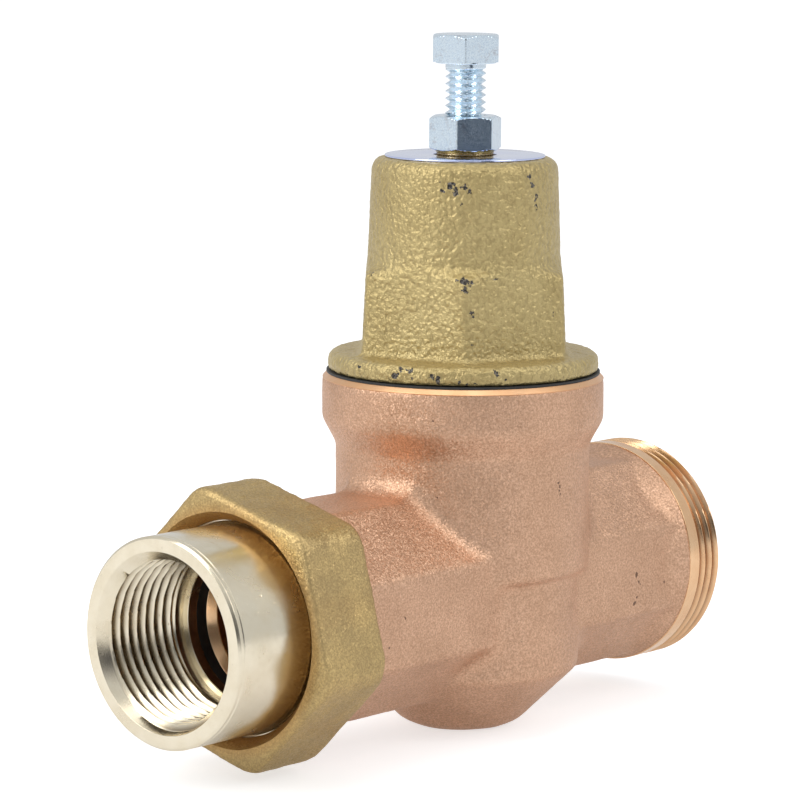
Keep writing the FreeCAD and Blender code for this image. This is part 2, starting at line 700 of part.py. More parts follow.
def make_valve_seat():
    """Seat bush in the web: flange above, flared orifice, and a narrow lip facing the disc below."""
    body = new_body("valve_seat")
    turned(body, "V_Axis", [
        ("orifice_r", "seat_lip_z"),
        ("orifice_r + seat_lip_width", "seat_lip_z"),
        ("seat_lip_r", "-web_half"),
        ("seat_r", "-web_half"),
        ("seat_r", "seat_flange_low_z"),
        ("seat_flange_r", "seat_flange_low_z"),
        ("seat_flange_r", "seat_flange_top_z"),
        ("orifice_top_r", "seat_flange_top_z"),
        ("orifice_r", "web_half"),
    ])
    return body


def make_cage():
    """Cage under the seat that guides the stem's foot, with windows for the flow."""
    body = new_body("cage")
    turned(body, "V_Axis", [
        ("cage_guide_r", "cage_low_z"),
        ("cage_out_r", "cage_low_z"),
        ("cage_out_r", "-web_half"),
        ("cage_in_r", "-web_half"),
        ("cage_in_r", "cage_floor_z"),
        ("cage_guide_r", "cage_floor_z"),
    ])
    window = wall_window(body, "cage_window_half", "cage_window_low_z", "cage_window_top_z",
                         "cage_out_r + cut_over")
    repeat_round(body, window, "Z_Axis", "cage_windows")
    return body


def wall_window(body, half, low, top, reach):
    """Rectangular opening through a tube's wall on +Y, from the axis outwards."""
    sketch = new_sketch(body)
    draw_outline(sketch, [(f"-{half}", low), (half, low), (half, top), (f"-{half}", top)])
    return prism(body, sketch, reach, grows=False)


def make_strainer_screen():
    """Thin slotted sleeve around the cage."""
    body = new_body("strainer_screen")
    turned(body, "V_Axis", [
        ("screen_in_r", "screen_low_z"),
        ("screen_out_r", "screen_low_z"),
        ("screen_out_r", "screen_top_z"),
        ("screen_in_r", "screen_top_z"),
    ])
    slot = wall_window(body, "slot_half", "slot_low_z", "slot_top_z", "screen_out_r + cut_over")
    repeat_round(body, slot, "Z_Axis", "screen_slots")
    return body


def make_all():
    """Every sub-part, from the inlet to the outlet and from the foot to the screw's head."""
    rim_top = "clamp_ledge_z + diaphragm_thick"
    return [
        make_valve_body(),
        make_union_nut(),
        make_union_tailpiece(),
        make_union_gasket(),
        make_bonnet(),
        ring("bonnet_gasket", "rim_z", "flange_low_z", "bonnet_gasket_in_r", "bonnet_gasket_out_r"),
        ring("cap_plate", "crown_z", "crown_z + plate_thick", "plate_hole_r", "plate_r"),
        ring("nut_washer", "crown_z", "lock_low_z", "washer_hole_r", "washer_r"),
        hex_nut("lock_nut", "lock_low_z", "lock_top_z", "lock_apothem", "screw_hole_r",
                "lock_slope", "lock_face_r", "lock_turn"),
        make_adjusting_screw(),
        make_spring_button(),
        make_spring("main_spring", "spring_r", "spring_wire_r", "spring_pitch",
                    "spring_low_z", "button_low_z"),
        ring("slip_ring", rim_top, "slip_top_z", "slip_in_r", "diaphragm_r"),
        make_diaphragm(),
        make_under_plate(),
        make_pressure_plate(),
        ring("lock_washer", "spring_low_z", "lock_washer_z", "stem_hole_r", "lock_washer_r"),
        hex_nut("stem_nut", "lock_washer_z", "stem_nut_z", "stem_nut_apothem", "stem_r",
                "stem_nut_slope", "stem_nut_face_r"),
        make_stem(),
        make_poppet(),
        ring("seat_disc", "poppet_cup_z", "disc_top_z", "stem_r", "disc_r"),
        hex_nut("disc_nut", "disc_nut_low_z", "poppet_low_z", "disc_nut_apothem", "stem_r",
                "disc_nut_slope", "disc_nut_face_r"),
        make_valve_seat(),
        ring("seat_gasket", "web_half", "seat_flange_low_z", "seat_gasket_in_r",
             "seat_gasket_out_r"),
        make_cage(),
        make_strainer_screen(),
        make_spring("return_spring", "return_r", "return_wire_r", "return_pitch",
                    "cage_floor_z", "poppet_neck_z"),
    ]


def check_document():
    """Stops on any object that did not compute."""
    for item in doc.Objects:
        if "Invalid" in item.State or "Error" in item.State:
            raise RuntimeError(f"{item.Label}: {item.State}")


def write_parts(bodies):
    os.makedirs("parts", exist_ok=True)
    for body in bodies:
        shape = body.Shape
        if shape.isNull() or not shape.isValid():
            raise RuntimeError(f"{body.Label} has no valid shape")
        shape.exportStep(f"parts/{body.Label}.step")
        print(f"{body.Label}: {len(shape.Solids)} solid, {shape.Volume:.1f} mm3")


fill_sheet()
bodies = make_all()
doc.recompute()
check_document()
write_parts(bodies)
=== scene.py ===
import json
import math
import bpy
import bmesh
import numpy as np
from mathutils import Matrix, Vector, noise


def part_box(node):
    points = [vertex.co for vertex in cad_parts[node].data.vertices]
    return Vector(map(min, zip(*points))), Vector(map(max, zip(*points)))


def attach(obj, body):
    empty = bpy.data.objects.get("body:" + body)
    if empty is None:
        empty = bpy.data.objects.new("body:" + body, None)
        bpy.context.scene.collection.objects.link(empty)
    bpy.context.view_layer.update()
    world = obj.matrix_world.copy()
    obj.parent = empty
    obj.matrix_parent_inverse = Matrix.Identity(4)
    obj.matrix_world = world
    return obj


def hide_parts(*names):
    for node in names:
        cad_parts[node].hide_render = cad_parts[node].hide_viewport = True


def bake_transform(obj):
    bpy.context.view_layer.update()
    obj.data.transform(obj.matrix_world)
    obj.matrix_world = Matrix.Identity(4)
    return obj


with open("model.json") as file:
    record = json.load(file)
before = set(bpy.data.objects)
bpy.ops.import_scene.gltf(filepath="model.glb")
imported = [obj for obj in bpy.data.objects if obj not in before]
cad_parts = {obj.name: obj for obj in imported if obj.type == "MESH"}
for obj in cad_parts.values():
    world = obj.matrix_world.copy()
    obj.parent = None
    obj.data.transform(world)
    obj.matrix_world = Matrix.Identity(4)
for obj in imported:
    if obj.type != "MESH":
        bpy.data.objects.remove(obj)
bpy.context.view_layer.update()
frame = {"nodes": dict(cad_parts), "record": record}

# the frame's own materials make room for the ones below
for imported in list(bpy.data.materials):
    bpy.data.materials.remove(imported)

MM = 0.001
FULL_TURN = 2 * math.pi

# ---------------------------------------------------------------- places and sizes, in millimetres


def extent(node):
    """Lowest and highest corner of a CAD node, in millimetres."""
    low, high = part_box(node)
    return [c / MM for c in low], [c / MM for c in high]


BODY_LOW, BODY_HIGH = extent("valve_body")
TAIL_LOW, TAIL_HIGH = extent("union_tailpiece")
NUT_LOW, NUT_HIGH = extent("union_nut")
SCREW_LOW, SCREW_HIGH = extent("adjusting_screw")
LOCK_LOW, LOCK_HIGH = extent("lock_nut")
WASHER_LOW, WASHER_HIGH = extent("nut_washer")
PLATE_LOW, PLATE_HIGH = extent("cap_plate")

PITCH = 2.2087                          # union and pipe threads
UNION_R, UNION_DEPTH = 22.6, 1.25
INLET_TURNED, OUTLET_TURNED, UNION_RUN = 7.4, 10.1, 7.4     # lengths of the turned ends and the thread
PORT_X = {-1: BODY_LOW[0] + INLET_TURNED, 1: BODY_HIGH[0] - OUTLET_TURNED}
PORT_FLAT, INLET_SLOPE = 20.3, 2.3
PORT_BORE, PORT_MOUTH = 12.5, 14.0
COLLAR_R, RIM_Z, RIM_BORE, RIM_CHAMFER = BODY_HIGH[1], BODY_HIGH[2], 23.6, 0.9

TAIL_R, TAIL_COLLAR_R, TAIL_MOUTH, TAIL_BORE = 19.8, TAIL_HIGH[1], 17.0, 14.0
TAIL_COLLAR_X, TAIL_FLARE_X, TAIL_FLARE_R, TAIL_BORE_X = -64.0, -66.2, 20.1, -62.9
PIPE_R, PIPE_DEPTH = 15.15, 1.35

NUT_LIP_X, NUT_LIP_R, NUT_MOUTH_R, NUT_THREAD_R = -64.1, 20.4, 22.3, 21.9

SCREW_R, SCREW_PITCH, SCREW_DEPTH = 3.97, 1.4111, 0.87
HEAD_LOW, HEAD_APOTHEM, HEAD_WASHER_R, HEAD_WASHER = 102.8, 6.35, 5.9, 0.35
LOCK_BORE = 4.03
SCREW_TURN, LOCK_TURN = math.radians(40), math.radians(26)

AXIS_R = 0.001                          # radius of the outline points that close a solid on its axis
HEX_INSIDE, HEX_OUTSIDE = 6.05, 9.0     # radii inside and outside the screw's and nut's hexagons
CUTTER_Y, CUTTER_Z = 30, 25             # half sizes of the cutters, past the ports
SAME_PLACE = 1e-4                       # slack for rounding, when two places are compared
ARC_PARTS = 4                           # edges in each round corner of an outline


def direction_of(azimuth, elevation):
    """Unit vector from the object towards an azimuth (0 looks along +Y) and elevation, in degrees."""
    turn, rise = math.radians(azimuth), math.radians(elevation)
    return Vector((math.sin(turn) * math.cos(rise), -math.cos(turn) * math.cos(rise), math.sin(rise)))


CAMERA_AZIMUTH, CAMERA_ELEVATION, CAMERA_ROLL = -48.71, 8.156, 0.381
CAMERA_DISTANCE, CAMERA_LENS = 763.7, 173.3
CAMERA_AIM = Vector((-4.4, 12.6, 35.4))

# ---------------------------------------------------------------- mesh helpers


def add_object(name, data):
    """New object in the scene, from a mesh, a camera or a lamp."""
    item = bpy.data.objects.new(name, data)
    bpy.context.scene.collection.objects.link(item)
    return item


def smooth_faces(mesh, sharp_degrees):
    """Smooth shading, except over edges sharper than an angle."""
    mesh.shade_smooth()
    mesh.set_sharp_from_angle(angle=math.radians(sharp_degrees))


def evaluated_mesh(piece):
    """The piece's mesh with its modifiers applied, as a new mesh."""
    graph = bpy.context.evaluated_depsgraph_get()
    return bpy.data.meshes.new_from_object(piece.evaluated_get(graph))


def settle(piece):
    """Applies the piece's modifiers."""
    mesh = evaluated_mesh(piece)
    piece.modifiers.clear()
    old = piece.data
    piece.data = mesh
    bpy.data.meshes.remove(old)
    return piece


def rounded(corners):
    """Closed outline with round corners, from (along, radius, round) corners. A round of 0 stays sharp."""
    points = []
    for i, (along, radius, size) in enumerate(corners):
        here = Vector((along, radius))
        if size == 0:
            points.append(tuple(here))
            continue
        before, after = corners[i - 1][:2], corners[(i + 1) % len(corners)][:2]
        inward, outward = Vector(before) - here, Vector(after) - here
        half = inward.angle(outward) / 2
        reach = min(size / math.tan(half), 0.49 * inward.length, 0.49 * outward.length)
        start, stop = here + inward.normalized() * reach, here + outward.normalized() * reach
        for k in range(ARC_PARTS + 1):
            t = k / ARC_PARTS
            points.append(tuple(start * (1 - t) ** 2 + here * 2 * t * (1 - t) + stop * t ** 2))
    return points


def filled(points, start, stop, step):
    """The outline with extra points, so that no edge between start and stop is longer than step."""
    fine = []
    for here, there in zip(points, points[1:] + points[:1]):
        fine.append(here)
        inside = min(start, stop) - SAME_PLACE <= min(here[0], there[0])
        inside = inside and max(here[0], there[0]) <= max(start, stop) + SAME_PLACE
        parts = math.ceil(math.dist(here, there) / step) if inside else 1
        for k in range(1, parts):
            t = k / parts
            fine.append((here[0] + (there[0] - here[0]) * t, here[1] + (there[1] - here[1]) * t))
    return fine


def helix_depth(along, turn, pitch, root, crest):
    """From 0 on a thread's crest to 1 in its root. Root and crest are the widths of the flats there, as
    shares of the pitch."""
    share = np.mod(along / pitch - turn / FULL_TURN, 1.0)
    ramp = np.abs(share - 0.5) * 2
    return np.clip((1 - crest - ramp) / (1 - crest - root), 0, 1)


def lathe(name, axis, outline, segments, thread=None):
    """Closed turned mesh round X or Z, from (along, radius) points. thread(along, radius, turn), where
    it is given, moves every point to another radius."""
    count = len(outline)
    along = np.array([p[0] for p in outline])[:, None] * np.ones((1, segments))
    radius = np.array([p[1] for p in outline])[:, None] * np.ones((1, segments))
    turn = np.arange(segments)[None, :] / segments * FULL_TURN * np.ones((count, 1))
    if thread:
        radius = thread(along, radius, turn)
    across, up = radius * np.cos(turn), radius * np.sin(turn)
    columns = (along, across, up) if axis == "X" else (across, up, along)
    points = np.stack(columns, -1).reshape(-1, 3) * MM
    i, j = np.meshgrid(np.arange(count), np.arange(segments), indexing="ij")
    after_i, after_j = (i + 1) % count, (j + 1) % segments
    quads = np.stack([i * segments + j, after_i * segments + j,
                      after_i * segments + after_j, i * segments + after_j], -1).reshape(-1, 4)
    mesh = bpy.data.meshes.new(name)
    mesh.from_pydata(points.tolist(), [], quads.tolist())
    return clean(add_object(name, mesh))


def clean(piece, merge=1e-6):
    """Merges points within a distance in metres, drops empty faces and turns every face outwards."""
    work = bmesh.new()
    work.from_mesh(piece.data)
    bmesh.ops.remove_doubles(work, verts=work.verts, dist=merge)
    bmesh.ops.dissolve_degenerate(work, edges=work.edges, dist=merge / 10)
    bmesh.ops.recalc_face_normals(work, faces=work.faces)
    work.to_mesh(piece.data)
    work.free()
    return piece


def combine(piece, other, operation):
    """Joins, cuts or crosses piece with another closed mesh, which is used up."""
    modifier = piece.modifiers.new("combine", "BOOLEAN")
    modifier.operation = operation
    modifier.object = other
    modifier.solver = "MANIFOLD"
    modifier.material_mode = "TRANSFER"
    settle(piece)
    bpy.data.objects.remove(other)
    return piece


def plain_copy(node, name):
    """Copy of a CAD node's mesh as a closed piece without materials."""
    piece = add_object(name, frame["nodes"][node].data.copy())
    piece.data.materials.clear()
    return clean(piece, 2e-6)


def soften(piece, voxel, passes, wobble, wobble_size):
    """Gives a piece the soft edges of a casting, and a slight unevenness. Sizes are in millimetres."""
    remesh = piece.modifiers.new("remesh", "REMESH")
    remesh.mode = "VOXEL"
    remesh.voxel_size = voxel * MM
    smooth = piece.modifiers.new("smooth", "SMOOTH")
    smooth.factor = 0.5
    smooth.iterations = passes
    settle(piece)
    roughen(piece, wobble, wobble_size)
    return piece


def roughen(piece, amount, size):
    """Moves each point along its normal by noise whose lumps are about size. Both in millimetres."""
    mesh = piece.data
    normals = [vertex.normal.copy() for vertex in mesh.vertices]
    moved = []
    for vertex, normal in zip(mesh.vertices, normals):
        level = noise.fractal(vertex.co / (size * MM), 0.6, 2.2, 3)
        moved.extend(vertex.co + normal * (level * amount * MM))
    mesh.vertices.foreach_set("co", moved)
    mesh.update()


def block(name, low, high):
    """Plain box between two corners in millimetres."""
    work = bmesh.new()
    bmesh.ops.create_cube(work, size=1)
    size = [b - a for a, b in zip(low, high)]
    middle = [(a + b) / 2 for a, b in zip(low, high)]
    for vertex in work.verts:
        vertex.co = [(m + v * s) * MM for m, v, s in zip(middle, vertex.co, size)]
    mesh = bpy.data.meshes.new(name)
    work.to_mesh(mesh)
    work.free()
    return add_object(name, mesh)


# ---------------------------------------------------------------- shader helpers


# sockets of a Mix node that is set to colours
MIX_SHARE, MIX_FIRST, MIX_SECOND, MIX_RESULT = 0, 6, 7, 2


def new_material(name):
    """New material, with its node tree and its shader."""
    material = bpy.data.materials.new(name)
    material.use_nodes = True
    return material, material.node_tree, material.node_tree.nodes["Principled BSDF"]


def add(tree, kind, inputs=None, **settings):
    """New node. An input is a value or another node's output socket."""
    node = tree.nodes.new(kind)
    for key, value in settings.items():
        setattr(node, key, value)
    for key, value in (inputs or {}).items():
        if isinstance(value, bpy.types.NodeSocket):
            tree.links.new(value, node.inputs[key])
        else:
            node.inputs[key].default_value = value
    return node


def place(tree, stretch=(1, 1, 1)):
    """The point's place in metres, stretched."""
    here = add(tree, "ShaderNodeTexCoord").outputs["Object"]
    return add(tree, "ShaderNodeMapping", {"Vector": here, "Scale": stretch}).outputs[0]


def grain(tree, size, detail=2.0, roughness=0.5, vector=None):
    """Noise from 0 to 1 whose lumps are about size millimetres."""
    inputs = {"Scale": 1 / (size * MM), "Detail": detail, "Roughness": roughness,
              "Vector": vector or place(tree)}
    return add(tree, "ShaderNodeTexNoise", inputs).outputs["Fac"]


def fit(tree, value, low, high, to_low=0.0, to_high=1.0):
    """Value from low to high, moved to the other span and held inside it."""
    inputs = {"Value": value, "From Min": low, "From Max": high, "To Min": to_low, "To Max": to_high}
    return add(tree, "ShaderNodeMapRange", inputs, clamp=True).outputs[0]


def calc(tree, operation, first, second):
    """Sum, product or the like of two values."""
    node = add(tree, "ShaderNodeMath", {0: first, 1: second}, operation=operation)
    return node.outputs[0]


def blend_colour(tree, share, first, second):
    """Colour that goes from the first to the second as a share socket goes from 0 to 1."""
    node = add(tree, "ShaderNodeMix", {MIX_SHARE: share}, data_type="RGBA")
    for key, value in ((MIX_FIRST, first), (MIX_SECOND, second)):
        if isinstance(value, bpy.types.NodeSocket):
            tree.links.new(value, node.inputs[key])
        else:
            node.inputs[key].default_value = (*value, 1)
    return node.outputs[MIX_RESULT]


def bump(tree, height, depth, normal=None):
    """Bump whose full height is depth millimetres, on top of another normal where one is given."""
    inputs = {"Height": height, "Distance": depth * MM}
    if normal:
        inputs["Normal"] = normal
    return add(tree, "ShaderNodeBump", inputs).outputs[0]


def facets(tree, size, tilt, normal):
    """Normal tilted at random from grain to grain, as on a sanded or cast face that glitters. The
    grains are size millimetres wide."""
    cells = add(tree, "ShaderNodeTexVoronoi", {"Scale": 1 / (size * MM), "Vector": place(tree)})
    lean = add(tree, "ShaderNodeVectorMath", {0: cells.outputs["Color"], 1: (0.5, 0.5, 0.5)},
               operation="SUBTRACT").outputs[0]
    lean = add(tree, "ShaderNodeVectorMath", {0: lean, "Scale": tilt}, operation="SCALE").outputs[0]
    total = add(tree, "ShaderNodeVectorMath", {0: normal, 1: lean}, operation="ADD").outputs[0]
    return add(tree, "ShaderNodeVectorMath", {0: total}, operation="NORMALIZE").outputs[0]


def axis_distance(tree):
    """The point's distance from the X axis, and its place along it, in metres."""
    apart = add(tree, "ShaderNodeSeparateXYZ", {0: place(tree)}).outputs
    across = add(tree, "ShaderNodeCombineXYZ", {"Y": apart[1], "Z": apart[2]}).outputs[0]
    radius = add(tree, "ShaderNodeVectorMath", {0: across}, operation="LENGTH").outputs["Value"]
    return radius, apart[0]


def groove_share(tree, crest, root, low, high):
    """From 0 on a thread's crest to 1 in its root, by the distance from the X axis and between two
    places along it, all in millimetres. Past the root and outside the two places it fades to 0."""
    fade = 0.3
    radius, along = axis_distance(tree)
    past = fade if root > crest else -fade
    share = calc(tree, "MULTIPLY", fit(tree, radius, crest * MM, root * MM),
                 fit(tree, radius, (root + past / 3) * MM, (root + past) * MM, 1.0, 0.0))
    span = calc(tree, "MULTIPLY", fit(tree, along, low * MM, (low + fade) * MM),
                fit(tree, along, (high - fade) * MM, high * MM, 1.0, 0.0))
    return calc(tree, "MULTIPLY", share, span)


def spots_at(tree, centres, ragged):
    """1 inside spots on the object, 0 outside. Each centre is (place, radius), and noise moves the
    outlines by up to half of ragged, all in millimetres."""
    noise_colour = add(tree, "ShaderNodeTexNoise", {"Scale": 1 / (0.9 * MM), "Detail": 5.0,
                                                    "Vector": place(tree)}).outputs["Color"]
    shift = add(tree, "ShaderNodeVectorMath", {0: noise_colour, 1: (0.5, 0.5, 0.5)},
                operation="SUBTRACT").outputs[0]
    shift = add(tree, "ShaderNodeVectorMath", {0: shift, "Scale": ragged * MM},
                operation="SCALE").outputs[0]
    here = add(tree, "ShaderNodeVectorMath", {0: place(tree), 1: shift}, operation="ADD").outputs[0]
    total = None
    for centre, radius in centres:
        away = add(tree, "ShaderNodeVectorMath", {0: here, 1: [c * MM for c in centre]},
                   operation="DISTANCE").outputs["Value"]
        spot = fit(tree, away, radius * 0.85 * MM, radius * MM, 1.0, 0.0)
        total = calc(tree, "MAXIMUM", total, spot) if total else spot
    return total


def round_spot(angle, height, radius, size):
    """A spot round the Z axis, by its angle from the camera's side, in the form that spots_at takes."""
    out = direction_of(CAMERA_AZIMUTH + angle, 0) * radius
    return (out.x, out.y, height), size


def set_inputs(tree, shader, **values):
    """Links or sets a shader's sockets, named with _ for a blank. A tuple is a colour."""
    for key, value in values.items():
        socket = shader.inputs[key.replace("_", " ")]
        if isinstance(value, bpy.types.NodeSocket):
            tree.links.new(value, socket)
        elif isinstance(value, tuple):
            socket.default_value = (*value, 1)
        else:
            socket.default_value = value


# ---------------------------------------------------------------- materials


# pits in the body's casting: on the barrel and the collar by angle from the camera's side in degrees,
# height, radius of the body there and size, and on the ports' near flats by place and size
BODY_FLAWS = [round_spot(*flaw) for flaw in (
    (47.5, 22.6, 25.0, 0.35), (48.0, 21.8, 25.0, 0.30), (48.0, 21.0, 25.0, 0.30),
    (48.2, 20.2, 25.0, 0.25), (-12, 20.6, 25.0, 0.30), (-13, 36.0, 27.7, 0.25),
    (20, 37.0, 27.7, 0.22), (-30, 15.0, 25.0, 0.22), (30, -8.0, 23.3, 0.25))] + [
    ((30.6, -20.3, -0.4), 0.45), ((31.4, -20.3, -2.2), 0.35), ((30.5, -20.3, -5.0), 0.40),
    ((30.0, -20.3, -6.2), 0.35), ((24.5, -20.3, 9.0), 0.30), ((39.5, -20.3, -3.0), 0.30),
    ((-40.0, -20.3, 1.0), 0.30), ((-44.5, -20.3, -4.0), 0.25)]


def cast_metal(name, light, dark, stain, grain_size, tilt, pit, flaws=(), mouth_tone_and_reflection=None):
    """Sand cast metal: uneven colour, glittering grain, pits, stains and single flaws. The last argument is
    two distances from the X axis in millimetres and the colour painted inside the first: a warm tone that
    is in part a painted reflection of the brass beside it."""
    material, tree, shader = new_material(name)
    patches = fit(tree, grain(tree, 9.0, 4.0, 0.6), 0.35, 0.65)
    fine = grain(tree, grain_size * 1.6, 3.0, 0.7)
    colour = blend_colour(tree, patches, dark, light)
    colour = blend_colour(tree, fit(tree, fine, 0.42, 0.62, 0.55, 0.0), colour, stain)
    colour = blend_colour(tree, fit(tree, grain(tree, 2.6, 5.0, 0.75), 0.60, 0.78, 0.0, 0.6),
                          colour, stain)
    rough = fit(tree, fine, 0.3, 0.7, 0.58, 0.42)
    relief = bump(tree, grain(tree, 0.9, 3.0, 0.6), pit)
    relief = bump(tree, fine, pit * 0.8, relief)
    # warm tone near the axis, in part a painted reflection of the brass tailpiece in the nut's mouth
    if mouth_tone_and_reflection:
        near, far, tone = mouth_tone_and_reflection
        share = fit(tree, axis_distance(tree)[0], near * MM, far * MM, 0.65, 0.0)
        colour = blend_colour(tree, share, colour, tone)
    if flaws:
        holes = spots_at(tree, flaws, 1.6)
        colour = blend_colour(tree, calc(tree, "MULTIPLY", holes, 0.75), colour, (0.09, 0.05, 0.035))
        relief = bump(tree, holes, -0.15, relief)
    relief = facets(tree, grain_size, tilt, relief)
    set_inputs(tree, shader, Base_Color=colour, Metallic=1.0, Roughness=rough, Normal=relief)
    return material


def turned_metal(name, colour, tint, roughness, axis, grooves=None, painted_groove_shade=(0, 0, 0)):
    """Machined metal with fine turning lines round an axis, and painted shade that darkens a thread's
    grooves, which are given as groove_share takes them."""
    material, tree, shader = new_material(name)
    along, across = 1, 0.02
    stretch = (along, across, across) if axis == "X" else (across, across, along)
    lines = grain(tree, 0.06, 2.0, 0.6, place(tree, stretch))
    smudge = grain(tree, 6.0, 4.0, 0.6)
    mixed = blend_colour(tree, fit(tree, smudge, 0.4, 0.7), colour, tint)
    # painted shade: darker towards the root of each groove
    if grooves:
        mixed = blend_colour(tree, groove_share(tree, *grooves), mixed, painted_groove_shade)
    rough = fit(tree, smudge, 0.35, 0.7, roughness * 0.8, roughness * 1.35)
    relief = bump(tree, lines, 0.004)
    relief = bump(tree, fit(tree, grain(tree, 0.8, 2.0), 0.70, 0.78, 1.0, 0.0), 0.03, relief)
    set_inputs(tree, shader, Base_Color=mixed, Metallic=1.0, Roughness=rough, Normal=relief)
    return material


# chips in the paint: angle from the camera's side in degrees, height, radius of the bonnet there, size
BONNET_CHIPS = [
    (-9, 80.0, 18.2, 0.7), (-14, 79.2, 18.2, 0.6), (-6, 78.8, 18.3, 0.8), (-1, 79.8, 18.3, 0.6),
    (2, 79.0, 18.3, 0.4), (-16, 80.2, 18.2, 0.35), (-3, 76.6, 18.4, 0.35), (-27, 75.0, 18.4, 0.3),
    (42, 81.5, 18.1, 0.5), (44, 80.0, 18.1, 0.45), (48, 77.4, 18.3, 0.6), (47, 75.8, 18.4, 0.5),
    (-1, 62.2, 21.4, 1.0), (3, 61.8, 21.6, 0.8), (0, 60.4, 21.8, 0.6), (-4, 62.4, 21.2, 0.5),
    (3.5, 56.4, 22.2, 0.75), (4, 55.4, 22.2, 0.6), (3, 49.8, 22.4, 0.35), (17, 62.6, 19.8, 0.4),
    (54, 54.6, 20.6, 0.5), (56, 52.6, 20.6, 0.5), (57, 50.4, 20.6, 0.4), (-58, 61.8, 21.2, 0.5),
    (-30, 44.0, 26.6, 0.8), (-28, 45.4, 26.4, 0.7), (-24, 45.4, 26.4, 0.6), (-22, 44.0, 26.6, 0.4),
    (-14, 44.6, 26.6, 0.7), (-11, 43.8, 26.8, 0.7), (-3, 43.4, 26.6, 0.5), (1, 43.0, 26.6, 0.4),
    (4, 43.0, 26.8, 0.4), (13, 45.2, 26.5, 0.6), (17, 43.6, 26.8, 0.4), (-50, 45.0, 26.6, 0.5),
]


def painted_iron(name):
    """Gold-olive paint over rough cast iron, with orange peel, painted shade in the peel's hollows, and
    chips.
    """
    material, tree, shader = new_material(name)
    patches = fit(tree, grain(tree, 10.0, 3.0, 0.6), 0.35, 0.65)
    pimples = add(tree, "ShaderNodeTexVoronoi", {"Scale": 1 / (0.95 * MM), "Vector": place(tree),
                                                 "Smoothness": 0.6}, feature="SMOOTH_F1")
    peel = calc(tree, "ADD", calc(tree, "MULTIPLY", pimples.outputs["Distance"], -0.55),
                grain(tree, 0.8, 2.0, 0.5))
    peel = fit(tree, peel, -0.05, 0.5)
    colour = blend_colour(tree, patches, (0.455, 0.35, 0.15), (0.51, 0.40, 0.18))
    # painted shade: the hollows between the peel's pimples are darker
    colour = blend_colour(tree, fit(tree, peel, 0.2, 0.6, 0.3, 0.0), colour, (0.25, 0.18, 0.07))
    specks = fit(tree, grain(tree, 1.3, 4.0, 0.7), 0.725, 0.74)
    spots = spots_at(tree, [round_spot(*chip) for chip in BONNET_CHIPS], 2.4)
    chips = calc(tree, "MAXIMUM", specks, spots)
    bare = blend_colour(tree, fit(tree, grain(tree, 0.35), 0.45, 0.65), (0.03, 0.026, 0.024),
                        (0.20, 0.18, 0.15))
    colour = blend_colour(tree, chips, colour, bare)
    relief = bump(tree, peel, 0.24)
    relief = bump(tree, chips, -0.06, relief)
    relief = facets(tree, 0.25, 0.18, relief)
    rough = fit(tree, grain(tree, 0.5, 2.0), 0.3, 0.7, 0.34, 0.44)
    set_inputs(tree, shader, Base_Color=colour, Metallic=0.6, Roughness=rough, Normal=relief)
    return material


def plated_steel(name, colour, tint, roughness, size=0.5, depth=0.006, stain=None):
    """Plated steel with a faint speckle, and smears where a stain is given."""
    material, tree, shader = new_material(name)
    spots = grain(tree, size, 4.0, 0.65)
    mixed = blend_colour(tree, fit(tree, spots, 0.38, 0.66), colour, tint)
    if stain:
        smears = fit(tree, grain(tree, 2.2, 6.0, 0.75), 0.56, 0.72, 0.0, 0.6)
        mixed = blend_colour(tree, smears, mixed, stain)
    rough = fit(tree, spots, 0.3, 0.7, roughness * 0.7, roughness * 1.5)
    set_inputs(tree, shader, Base_Color=mixed, Metallic=1.0, Roughness=rough,
               Normal=bump(tree, spots, depth))
    return material


def dull_solid(name, colour, tint, roughness):
    """Rubber or fibre: no metal, a little mottled."""
    material, tree, shader = new_material(name)
    spots = grain(tree, 0.6, 4.0, 0.6)
    mixed = blend_colour(tree, fit(tree, spots, 0.35, 0.65), colour, tint)
    rough = fit(tree, spots, 0.3, 0.7, roughness * 0.85, roughness * 1.1)
    set_inputs(tree, shader, Base_Color=mixed, Roughness=rough, Normal=bump(tree, spots, 0.02))
    return material


BRONZE = cast_metal("body_bronze", (0.78, 0.50, 0.34), (0.69, 0.435, 0.29), (0.38, 0.22, 0.13),
                    grain_size=0.24, tilt=0.40, pit=0.05, flaws=BODY_FLAWS)
# the nut's brass is painted a warm tone round its mouth, in part a painted reflection of the tailpiece
NUT_BRASS = cast_metal("nut_brass", (0.64, 0.47, 0.21), (0.51, 0.375, 0.175), (0.30, 0.21, 0.10),
                       grain_size=0.24, tilt=0.36, pit=0.04,
                       mouth_tone_and_reflection=(NUT_LIP_R + 0.8, NUT_MOUTH_R + 2.2, (0.50, 0.27, 0.09)))
# painted shade darkens the union thread's grooves
BODY_TURNED = turned_metal("body_turned", (0.88, 0.58, 0.34), (0.80, 0.48, 0.26), 0.22, "X",
                           grooves=(UNION_R - 0.25, UNION_R - UNION_DEPTH, BODY_LOW[0] + 0.6,
                                    BODY_HIGH[0] - 0.6), painted_groove_shade=(0.18, 0.08, 0.04))
RIM_TURNED = turned_metal("rim_turned", (0.82, 0.49, 0.27), (0.76, 0.43, 0.22), 0.34, "Z")
